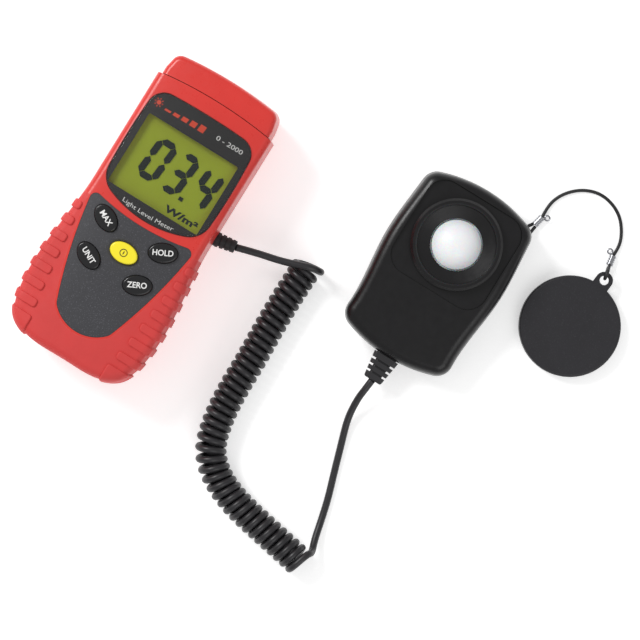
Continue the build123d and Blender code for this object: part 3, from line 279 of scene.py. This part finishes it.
tether_line = even(line_of(TETHER_ROUTE), TETHER_STEP)
tether = tube("tether", tether_line, TETHER_R, TUBE_SIDES)
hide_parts("tether_cord")
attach(tether, "sensor_head")

# A copy of the cap's loop mesh stands in for its node, in the CAD's frame
cap_loop = linked("cap_loop", nodes["tether_cap_loop"].data.copy())
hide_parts("tether_cap_loop")
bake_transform(cap_loop)


# ---- Materials ----------------------------------------------------------------------------------


DRIFT_SIZE = 14 * MM  # sizes of the unevenness in colour, flecks, wear and gloss
FLECK_SIZE = 0.45 * MM
WORN_SIZE = 2.5 * MM
GLOSS_SIZE = 3 * MM
WORN_REACH = 0.5 * MM  # how far from an edge the wear reaches


def shade(red, green, blue):
    """Linear colour, with full alpha, of a display colour from 0 to 255."""
    return (*[((c / 255 + 0.055) / 1.055) ** 2.4 for c in (red, green, blue)], 1.0)


def surface(name, colour, rough, grain, height, drift=0.08, uneven=0.06, fleck=None, worn=None):
    """Material with fine grain in its bump, uneven gloss and a slight drift of colour.

    grain is the grain's size and height its depth, fleck the colour of fine specks, and worn the
    colour that rubbed edges turn to.
    """
    made = bpy.data.materials.new(name)
    made.use_nodes = True
    tree = made.node_tree
    shader = tree.nodes["Principled BSDF"]
    place = tree.nodes.new("ShaderNodeTexCoord").outputs["Object"]

    def noise(size, detail):
        """Noise with features of this size."""
        node = tree.nodes.new("ShaderNodeTexNoise")
        node.inputs["Scale"].default_value = 1 / size
        node.inputs["Detail"].default_value = detail
        tree.links.new(place, node.inputs["Vector"])
        return node.outputs["Fac"]

    def ranged(value, low, high, out_low, out_high):
        """The value with low to high stretched over out_low to out_high, and clamped there."""
        node = tree.nodes.new("ShaderNodeMapRange")
        tree.links.new(value, node.inputs["Value"])
        node.inputs["From Min"].default_value = low
        node.inputs["From Max"].default_value = high
        node.inputs["To Min"].default_value = out_low
        node.inputs["To Max"].default_value = out_high
        return node.outputs["Result"]

    def mixed(factor, a, b):
        """Colour a turning into b as the factor rises."""
        node = tree.nodes.new("ShaderNodeMix")
        node.data_type = "RGBA"
        tree.links.new(factor, node.inputs[0])
        for socket, value in ((node.inputs[6], a), (node.inputs[7], b)):
            if isinstance(value, tuple):
                socket.default_value = value
            else:
                tree.links.new(value, socket)
        return node.outputs[2]

    dark = (*[c * (1 - drift) for c in colour[:3]], 1.0)
    light = (*[min(c * (1 + drift), 1.0) for c in colour[:3]], 1.0)
    look = mixed(ranged(noise(DRIFT_SIZE, 4), 0.3, 0.7, 0, 1), dark, light)
    if fleck:
        look = mixed(ranged(noise(FLECK_SIZE, 2), 0.6, 0.7, 0, 0.8), look, fleck)
    if worn:
        rounded = tree.nodes.new("ShaderNodeBevel")
        rounded.samples = 4
        rounded.inputs["Radius"].default_value = WORN_REACH
        along = tree.nodes.new("ShaderNodeVectorMath")
        along.operation = "DOT_PRODUCT"
        tree.links.new(rounded.outputs["Normal"], along.inputs[0])
        tree.links.new(tree.nodes.new("ShaderNodeNewGeometry").outputs["Normal"], along.inputs[1])
        rubbed = tree.nodes.new("ShaderNodeMath")
        rubbed.operation = "MULTIPLY"
        tree.links.new(ranged(along.outputs["Value"], 0.99, 0.8, 0, 0.55), rubbed.inputs[0])
        tree.links.new(ranged(noise(WORN_SIZE, 4), 0.35, 0.6, 0, 1), rubbed.inputs[1])
        look = mixed(rubbed.outputs["Value"], look, worn)
    tree.links.new(look, shader.inputs["Base Color"])
    gloss = ranged(noise(GLOSS_SIZE, 5), 0.25, 0.75, max(rough - uneven, 0), rough + uneven)
    tree.links.new(gloss, shader.inputs["Roughness"])
    bump = tree.nodes.new("ShaderNodeBump")
    bump.inputs["Strength"].default_value = 1.0
    bump.inputs["Distance"].default_value = height
    tree.links.new(noise(grain, 3), bump.inputs["Height"])
    tree.links.new(bump.outputs["Normal"], shader.inputs["Normal"])
    return made


def tuned(material, **sockets):
    """The material with these numbers on its shader's inputs, with _ for each space."""
    shader = material.node_tree.nodes["Principled BSDF"]
    for name, value in sockets.items():
        shader.inputs[name.replace("_", " ")].default_value = value
    return material


def metal(name, colour, rough):
    """Metal with fine scuffs."""
    scuffed = surface(
        name, colour, rough, grain=0.3 * MM, height=0.004 * MM, drift=0.1, uneven=0.1
    )
    return tuned(scuffed, Metallic=1.0)


LOOKS = {
    "red_plastic": surface(
        "red_plastic", shade(216, 54, 47), rough=0.3, grain=0.55 * MM, height=0.02 * MM,
        drift=0.04, uneven=0.05, worn=shade(228, 90, 82),
    ),
    "red_rubber": surface(
        "red_rubber", shade(211, 59, 57), rough=0.62, grain=0.5 * MM, height=0.04 * MM, drift=0.05,
        uneven=0.08, worn=shade(218, 98, 94),
    ),
    "clear_lens": tuned(
        surface(
            "clear_lens", shade(60, 62, 60), rough=0.04, grain=2 * MM, height=0.001 * MM,
            drift=0.02, uneven=0.02,
        ),
        Alpha=0.2,
        IOR=1.49,
    ),
    "printed_mask": surface(
        "printed_mask", shade(48, 45, 48), rough=0.4, grain=0.4 * MM, height=0.006 * MM,
        drift=0.05, uneven=0.05,
    ),
    "display_glass": surface(
        "display_glass", shade(192, 210, 36), rough=0.5, grain=0.6 * MM, height=0.004 * MM,
        drift=0.04, uneven=0.05,
    ),
    "light_guide": surface(
        "light_guide", shade(214, 226, 190), rough=0.3, grain=0.6 * MM, height=0.004 * MM,
    ),
    "black_plastic": surface(
        "black_plastic", shade(36, 35, 38), rough=0.42, grain=0.5 * MM, height=0.02 * MM,
        worn=shade(70, 70, 73),
    ),
    "keypad_film": surface(
        "keypad_film", shade(56, 56, 60), rough=0.46, grain=0.5 * MM, height=0.03 * MM, drift=0.06,
        uneven=0.06, fleck=shade(96, 96, 102),
    ),
    "key_black": surface(
        "key_black", shade(22, 22, 24), rough=0.2, grain=1.2 * MM, height=0.006 * MM, drift=0.1,
        uneven=0.06, worn=shade(60, 60, 63),
    ),
    "key_yellow": surface(
        "key_yellow", shade(254, 236, 48), rough=0.25, grain=1.2 * MM, height=0.006 * MM,
        drift=0.03, uneven=0.06, worn=shade(252, 238, 120),
    ),
    "silicone": tuned(
        surface("silicone", shade(150, 150, 155), rough=0.6, grain=0.6 * MM, height=0.02 * MM),
        Subsurface_Weight=0.1,
    ),
    "gold_pads": metal("gold_pads", shade(212, 172, 84), 0.28),
    "circuit_board": surface(
        "circuit_board", shade(22, 84, 46), rough=0.4, grain=0.7 * MM, height=0.02 * MM,
        drift=0.15, fleck=shade(60, 130, 80),
    ),
    "chip_black": surface(
        "chip_black", shade(30, 30, 33), rough=0.6, grain=0.3 * MM, height=0.02 * MM,
    ),
    "capacitor_can": metal("capacitor_can", shade(190, 192, 196), 0.35),
    "white_plastic": surface(
        "white_plastic", shade(226, 224, 214), rough=0.45, grain=0.5 * MM, height=0.01 * MM,
    ),
    "battery_can": surface(
        "battery_can", shade(52, 56, 66), rough=0.35, grain=0.8 * MM, height=0.01 * MM,
        worn=shade(150, 150, 150),
    ),
    "wire_red_black": surface(
        "wire_red_black", shade(150, 24, 24), rough=0.45, grain=0.5 * MM, height=0.01 * MM,
    ),
    "steel": metal("steel", shade(176, 178, 182), 0.3),
    "cord_rubber": surface(
        "cord_rubber", shade(33, 32, 35), rough=0.4, grain=0.4 * MM, height=0.012 * MM, drift=0.12,
        uneven=0.08,
    ),
    "strain_relief_rubber": surface(
        "strain_relief_rubber", shade(30, 29, 32), rough=0.5, grain=0.4 * MM, height=0.02 * MM,
        drift=0.1, uneven=0.08,
    ),
    "head_plastic": tuned(
        surface(
            "head_plastic", shade(14, 13, 15), rough=0.33, grain=0.5 * MM, height=0.016 * MM,
            drift=0.12, uneven=0.06,
        ),
        Specular_IOR_Level=0.38,
    ),
    "diffuser": tuned(
        surface(
            "diffuser", shade(249, 250, 255), rough=0.42, grain=0.9 * MM, height=0.006 * MM,
            drift=0.02, uneven=0.06,
        ),
        Subsurface_Weight=0.35,
        Subsurface_Scale=0.002,
    ),
    "seal_rubber": surface(
        "seal_rubber", shade(24, 24, 26), rough=0.7, grain=0.4 * MM, height=0.02 * MM,
    ),
    "photodiode_case": metal("photodiode_case", shade(186, 178, 150), 0.35),
    "filter_glass": surface(
        "filter_glass", shade(96, 130, 150), rough=0.08, grain=2 * MM, height=0.002 * MM,
    ),
    "cap_plastic": tuned(
        surface(
            "cap_plastic", shade(36, 35, 39), rough=0.48, grain=0.5 * MM, height=0.03 * MM,
            drift=0.08, uneven=0.06, fleck=shade(50, 50, 54),
        ),
        Specular_IOR_Level=0.4,
    ),
    "tether_cord": surface(
        "tether_cord", shade(24, 24, 26), rough=0.5, grain=0.3 * MM, height=0.04 * MM, drift=0.15,
    ),
    "crimp_steel": metal("crimp_steel", shade(168, 169, 173), 0.2),
}


def ink(name, colour, drift):
    """Matt printing ink."""
    return surface(name, colour, rough=0.45, grain=0.5 * MM, height=0.004 * MM, drift=drift)


INK_WHITE = ink("ink_white", shade(238, 238, 236), 0.02)
INK_ORANGE = ink("ink_orange", shade(226, 74, 46), 0.05)
INK_DARK = ink("ink_dark", shade(58, 52, 24), 0.05)
SEGMENT = surface(
    "segment", shade(10, 30, 22), rough=0.4, grain=0.6 * MM, height=0.002 * MM, drift=0.1
)


def dressed(piece, material):
    """The piece with this material as its only one."""
    piece.data.materials.clear()
    piece.data.materials.append(material)
    return piece


SHARP = math.radians(28)
WELD = 0.002 * MM


def smoother():
    """Geometry nodes that shade smooth, apart from edges sharper than SHARP."""
    group = bpy.data.node_groups.new("smooth_by_angle", "GeometryNodeTree")
    group.interface.new_socket("Geometry", in_out="INPUT", socket_type="NodeSocketGeometry")
    group.interface.new_socket("Geometry", in_out="OUTPUT", socket_type="NodeSocketGeometry")
    start = group.nodes.new("NodeGroupInput")
    end = group.nodes.new("NodeGroupOutput")
    faces = group.nodes.new("GeometryNodeSetShadeSmooth")
    edges = group.nodes.new("GeometryNodeSetShadeSmooth")
    edges.domain = "EDGE"
    angle = group.nodes.new("GeometryNodeInputMeshEdgeAngle")
    flat = group.nodes.new("FunctionNodeCompare")
    flat.data_type = "FLOAT"
    flat.operation = "LESS_EQUAL"
    flat.inputs[1].default_value = SHARP
    link = group.links.new
    link(start.outputs[0], faces.inputs["Geometry"])
    link(faces.outputs["Geometry"], edges.inputs["Geometry"])
    link(angle.outputs["Unsigned Angle"], flat.inputs[0])
    link(flat.outputs[0], edges.inputs["Shade Smooth"])
    link(edges.outputs["Geometry"], end.inputs[0])
    return group


SMOOTH = smoother()
slots = {part["node"]: part["material_slot"] for part in frame["record"]["subparts"]}
for name, node in [*nodes.items(), ("tether_cap_loop", cap_loop)]:
    dressed(node, LOOKS[slots[name]])
    weld = node.modifiers.new("weld", "WELD")
    weld.merge_threshold = WELD
    node.modifiers.new("smooth", "NODES").node_group = SMOOTH
    node.modifiers.new("normals", "WEIGHTED_NORMAL").keep_sharp = True
dressed(cord, LOOKS["cord_rubber"])
dressed(tether, LOOKS["tether_cord"])


# ---- Prints and display segments ----------------------------------------------------------------

PRINT_LIFT = 0.03 * MM
LETTER_RISE = 0.02 * MM  # half the thickness of a letter
CAP_SHARE = 0.7  # a capital's share of the font's size
ABOVE = 0.1  # a height over everything
trees = {}  # each printed node's surface, for finding its height


def laid_on(mesh, node, lift):
    """Moves a flat mesh's points up onto a CAD node, lift above it."""
    if node not in trees:
        data = nodes[node].data
        trees[node] = BVHTree.FromPolygons(
            [v.co for v in data.vertices], [tuple(p.vertices) for p in data.polygons]
        )
    for v in mesh.vertices:
        hit = trees[node].ray_cast(Vector((v.co.x, v.co.y, ABOVE)), Vector((0, 0, -1)))[0]
        v.co.z += hit.z + lift


def finished(name, mesh, material, node, lift):
    """A print laid on a CAD node, which it rides with."""
    laid_on(mesh, node, lift)
    piece = dressed(linked(name, mesh), material)
    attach(piece, nodes[node]["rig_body"])
    return piece


def lettered(
    name, words, height, middle, node, material, turn=0.0, bold=0.0, bow=0.0, stretch=1.0
):
    """Raised ink letters about a place, in millimetres and degrees.

    bold thickens them, bow lifts the line's ends and stretch widens the line.
    """
    font = bpy.data.curves.new(name, "FONT")
    font.body = words
    font.size = height * MM / CAP_SHARE
    font.align_x = "CENTER"
    font.align_y = "CENTER"
    font.offset = bold * MM
    font.extrude = LETTER_RISE
    font.resolution_u = 4
    made = linked(name, font)
    mesh = bpy.data.meshes.new_from_object(made)
    bpy.data.objects.remove(made)
    c, s = math.cos(math.radians(turn)), math.sin(math.radians(turn))
    for v in mesh.vertices:
        x = v.co.x * stretch
        y = v.co.y + bow * x * x / MM
        v.co.x = middle[0] * MM + c * x - s * y
        v.co.y = middle[1] * MM + s * x + c * y
    mesh.name = name
    return finished(name, mesh, material, node, PRINT_LIFT)


def plated(name, outlines, thick, node, material, lift=0.0):
    """Flat plates with these outlines, counter-clockwise in millimetres, laid on a node."""
    bm = bmesh.new()
    for outline in outlines:
        low = [bm.verts.new((x * MM, y * MM, 0)) for x, y in outline]
        high = [bm.verts.new((x * MM, y * MM, thick * MM)) for x, y in outline]
        bm.faces.new(low[::-1])
        bm.faces.new(high)
        for i in range(len(outline)):
            n = (i + 1) % len(outline)
            bm.faces.new((low[i], low[n], high[n], high[i]))
    mesh = bpy.data.meshes.new(name)
    bm.to_mesh(mesh)
    bm.free()
    return finished(name, mesh, material, node, lift * MM)


STROKE = 2.8  # the display's digits, in millimetres
SEGMENT_GAP = 0.18
SLANT = math.tan(math.radians(5))
SHAPES = {"0": "abcdef", "3": "abcdg", "4": "bcfg"}  # which segments each digit has
DIGIT_Y = (13.6, 32.1)


def digit(shape, left, right):
    """Outlines of a seven-segment digit, its foot between left and right."""
    low, high = DIGIT_Y
    mid = (low + high) / 2
    h = STROKE / 2
    gap = SEGMENT_GAP
    cx = {"l": left + h, "r": right - h}
    cy = {"t": high - h, "m": mid, "b": low + h}

    def flat(y):
        a, b = cx["l"] + gap, cx["r"] - gap
        return [(a, y), (a + h, y - h), (b - h, y - h), (b, y), (b - h, y + h), (a + h, y + h)]

    def tall(x, y0, y1):
        a, b = y0 + gap, y1 - gap
        return [(x, a), (x + h, a + h), (x + h, b - h), (x, b), (x - h, b - h), (x - h, a + h)]

    parts = {
        "a": flat(cy["t"]),
        "b": tall(cx["r"], cy["m"], cy["t"]),
        "c": tall(cx["r"], cy["b"], cy["m"]),
        "d": flat(cy["b"]),
        "e": tall(cx["l"], cy["b"], cy["m"]),
        "f": tall(cx["l"], cy["m"], cy["t"]),
        "g": flat(cy["m"]),
    }
    return [[(x + SLANT * (y - low), y) for x, y in parts[p]] for p in SHAPES[shape]]


def disc(x, y, radius, count=24):
    """Outline of a round mark."""
    turns = [2 * math.pi * k / count for k in range(count)]
    return [(x + radius * math.cos(t), y + radius * math.sin(t)) for t in turns]


reading = digit("0", -14.0, -4.6) + digit("3", -2.8, 6.0) + digit("4", 9.2, 17.9)
reading.append([(6.9, 13.6), (8.7, 13.6), (8.8, 15.2), (7.0, 15.2)])
plated("display_segments", reading, 0.3, "lcd_panel", SEGMENT)
lettered(
    "display_unit", "W/m²", 2.7, (12.0, 8.1), "lcd_panel", SEGMENT, bold=0.16, stretch=1.6
)

SUN = (-20.0, 43.0)
sun = [disc(*SUN, 0.95)]
for k in range(8):
    way = Vector((math.cos(k * math.pi / 4), math.sin(k * math.pi / 4)))
    side = Vector((-way.y, way.x)) * 0.19
    centre = Vector(SUN)
    near = centre + way * 1.3
    far = centre + way * 1.95
    sun.append([tuple(p) for p in (near - side, far - side, far + side, near + side)])
BAR_FOOT = 41.5
bars = [
    [(x, BAR_FOOT), (x + 2.7, BAR_FOOT), (x + 3.0, BAR_FOOT + tall), (x + 0.3, BAR_FOOT + tall)]
    for x, tall in zip((-16.6, -12.7, -8.8, -4.9, -1.0), (0.9, 1.4, 1.9, 2.4, 2.9))
]
plated("scale_print", sun + bars, 0.03, "display_mask", INK_ORANGE, 0.02)
for name, words, height, middle, bow in (
    ("range_print", "0 - 2000", 1.9, (13.4, 43.1), 0.0),
    ("title_print", "Light Level Meter", 1.75, (0.0, 1.5), 0.0055),
):
    lettered(
        name, words, height, middle, "display_mask", INK_WHITE, bow=bow, stretch=1.35
    )

for name, words, x, y, turn in (
    ("button_upper_left", "MAX", -13.5, -8.0, -27.0),
    ("button_lower_left", "UNIT", -11.5, -24.5, -27.0),
    ("button_upper_right", "HOLD", 13.5, -8.0, 26.0),
    ("button_lower_right", "ZERO", 11.5, -24.5, 26.0),
):
    legend = name + "_legend"
    lettered(
        legend, words, 2.3, (x, y), name, INK_WHITE, turn=turn, bold=0.06, stretch=0.95
    )

POWER_KEY_Y = -16.2
RING = (1.3, 1.65)  # radii
RING_SIDES = 32
POWER_BAR = (0.2, 0.7)  # half width, half length
power = []
for k in range(RING_SIDES):
    a = 2 * math.pi * k / RING_SIDES
    b = 2 * math.pi * (k + 1) / RING_SIDES
    quad = [(RING[0], a), (RING[1], a), (RING[1], b), (RING[0], b)]
    power.append([(r * math.cos(t), POWER_KEY_Y + r * math.sin(t)) for r, t in quad])
x, y = POWER_BAR
power.append([(-x, POWER_KEY_Y - y), (x, POWER_KEY_Y - y), (x, POWER_KEY_Y + y), (-x, POWER_KEY_Y + y)])
plated("power_symbol", power, 0.03, "button_power", INK_DARK, 0.02)


# ---- Floor and light ----------------------------------------------------------------------------

FLOOR = 3.0  # half its width
FLOOR_Z = -0.1 * MM
GLOW = 0.42  # light of its own, which keeps the shadows faint
floor_mesh = bpy.data.meshes.new("floor")
floor_mesh.from_pydata(
    [(x, y, FLOOR_Z) for x, y in ((-FLOOR, -FLOOR), (FLOOR, -FLOOR), (FLOOR, FLOOR), (-FLOOR, FLOOR))],
    [],
    [(0, 1, 2, 3)],
)
paper = surface(
    "floor_paper", shade(248, 248, 248), rough=0.8, grain=2 * MM, height=0.01 * MM, drift=0.005
)
floor = dressed(linked("floor", floor_mesh), paper)
WHITE = (1.0, 1.0, 1.0, 1.0)
tuned(paper, Emission_Color=WHITE, Emission_Strength=GLOW)

world = bpy.data.worlds.new("studio")
scene.world = world
world.use_nodes = True
sky = world.node_tree.nodes["Background"]
sky.inputs["Color"].default_value = WHITE
sky.inputs["Strength"].default_value = 0.5


LIT = Vector((0.08, 0.0, 0.01))  # the lamps look at the middle of the object


def lamp(name, place, size, energy):
    """Square soft light."""
    data = bpy.data.lights.new(name, "AREA")
    data.size = size
    data.energy = energy
    made = linked(name, data)
    made.location = place
    made.rotation_euler = (LIT - Vector(place)).to_track_quat("-Z", "Y").to_euler()


lamp("key", (-0.95, 0.25, 1.0), 0.5, 11.0)
lamp("fill", (0.9, -0.5, 1.1), 0.9, 4.0)
